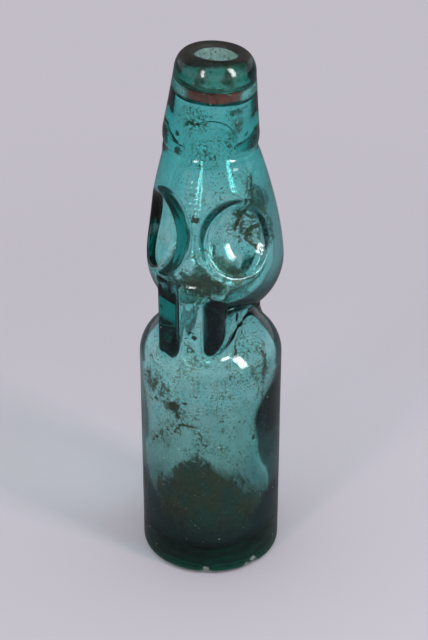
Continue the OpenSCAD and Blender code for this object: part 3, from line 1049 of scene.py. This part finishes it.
for piece, make in ((bottle, teal_glass), (washer, aged_rubber), (marble, green_glass)):
    piece.data.materials.append(make())

# Studio ---------------------------------------------------------------------------

scene.view_settings.view_transform = "Standard"

# A hair under the foot, so that the two faces don't share one plane
FLOOR_Z = -0.00005

bpy.ops.object.select_all(action="DESELECT")
bpy.ops.mesh.primitive_circle_add(vertices=96, radius=6.0, fill_type="NGON", location=(0.0, 0.0, FLOOR_Z))
floor = bpy.context.object
floor.name = "floor"

PAPER = srgb("cbc6d0")


def paper():
    """Matt paper: its far part shows one even tone, its near part takes light and shadow."""
    material, tree = new_material("matt_paper")
    path = add(tree, "ShaderNodeLightPath")
    # Kept dim in the reflections off the glass, so that its thick parts stay deep
    tone = blend(tree, path.outputs["Is Glossy Ray"], PAPER, tuple(0.3 * c for c in PAPER))
    near = add(tree, "ShaderNodeBsdfDiffuse", i0=tone)
    far = add(tree, "ShaderNodeEmission", {"Color": PAPER, "Strength": 0.9})
    place = add(tree, "ShaderNodeTexCoord")
    length = add(tree, "ShaderNodeVectorMath", {"operation": "LENGTH"}, i0=place.outputs["Object"])
    reach = step(tree, length.outputs["Value"], 0.1, 0.42)
    # Seen through the glass, the even tone starts nearer
    behind = step(tree, length.outputs["Value"], 0.03, 0.15)
    share = maths(
        tree,
        "MAXIMUM",
        maths(tree, "MULTIPLY", path.outputs["Is Camera Ray"], reach),
        maths(tree, "MULTIPLY", path.outputs["Is Transmission Ray"], behind),
    )
    mixed = add(tree, "ShaderNodeMixShader", i0=share, i1=near.outputs[0], i2=far.outputs[0])
    add(tree, "ShaderNodeOutputMaterial", Surface=mixed.outputs[0])
    return material


floor.data.materials.append(paper())


def room():
    """World: a pale sweep low down, a darker room above it, and even fill light."""
    world = bpy.data.worlds.new("studio")
    world.use_nodes = True
    tree = world.node_tree
    tree.nodes.clear()
    place = add(tree, "ShaderNodeTexCoord")
    split = add(tree, "ShaderNodeSeparateXYZ", i0=place.outputs["Generated"])
    tone = blend(tree, step(tree, split.outputs["Z"], 0.2, 0.48), PAPER, (0.03, 0.03, 0.033, 1.0))
    path = add(tree, "ShaderNodeLightPath")
    seen = maths(tree, "MAXIMUM", path.outputs["Is Camera Ray"], path.outputs["Is Glossy Ray"])
    seen = maths(tree, "MAXIMUM", seen, path.outputs["Is Transmission Ray"])
    light = blend(tree, seen, (0.69, 0.69, 0.7, 1.0), tone)
    back = add(tree, "ShaderNodeBackground", i0=light)
    add(tree, "ShaderNodeOutputWorld", Surface=back.outputs[0])
    scene.world = world


room()


def card_light(strength):
    """A lit card that only shows as a gleam on the glass."""
    material, tree = new_material("softbox_gleam")
    path = add(tree, "ShaderNodeLightPath")
    gleam = add(tree, "ShaderNodeEmission", {"Strength": strength})
    clear = add(tree, "ShaderNodeBsdfTransparent")
    in_gleam = path.outputs["Is Glossy Ray"]
    mixed = add(tree, "ShaderNodeMixShader", i0=in_gleam, i1=clear.outputs[0], i2=gleam.outputs[0])
    add(tree, "ShaderNodeOutputMaterial", Surface=mixed.outputs[0])
    return material


# Height that the softboxes face, and the place of each card as a multiple of its lamp's
LIT_Z = 0.12
CARD_AWAY = 1.02
# Turn and height angle of each softbox, its distance, the lamp's width, height and power,
# and the width, height and strength of the card behind it
SOFTBOXES = (
    ("right_softbox", 55.0, 30.0, 0.8, 0.14, 0.46, 2.6, 0.2, 0.62, 7.0),
    ("left_softbox", -34.0, 26.0, 0.9, 0.12, 0.4, 1.8, 0.17, 0.5, 5.0),
)
for name, turn, rise, away, width, height, power, card_w, card_h, gleam in SOFTBOXES:
    a, e = math.radians(turn), math.radians(rise)
    spot = Vector((math.sin(a) * math.cos(e), -math.cos(a) * math.cos(e), math.sin(e))) * away
    spot += Vector((0.0, 0.0, LIT_Z))
    bpy.ops.object.light_add(type="AREA", location=spot)
    lamp = bpy.context.object
    lamp.name = name
    lamp.data.shape = "RECTANGLE"
    lamp.data.size = width
    lamp.data.size_y = height
    lamp.data.energy = power
    lamp.visible_camera = False
    aim(lamp, (0.0, 0.0, LIT_Z))
    bpy.ops.object.select_all(action="DESELECT")
    bpy.ops.mesh.primitive_plane_add(size=1.0, location=spot * CARD_AWAY)
    card = bpy.context.object
    card.name = name + "_card"
    card.scale = (card_w, card_h, 1.0)
    aim(card, (0.0, 0.0, LIT_Z))
    card.data.materials.append(card_light(gleam))
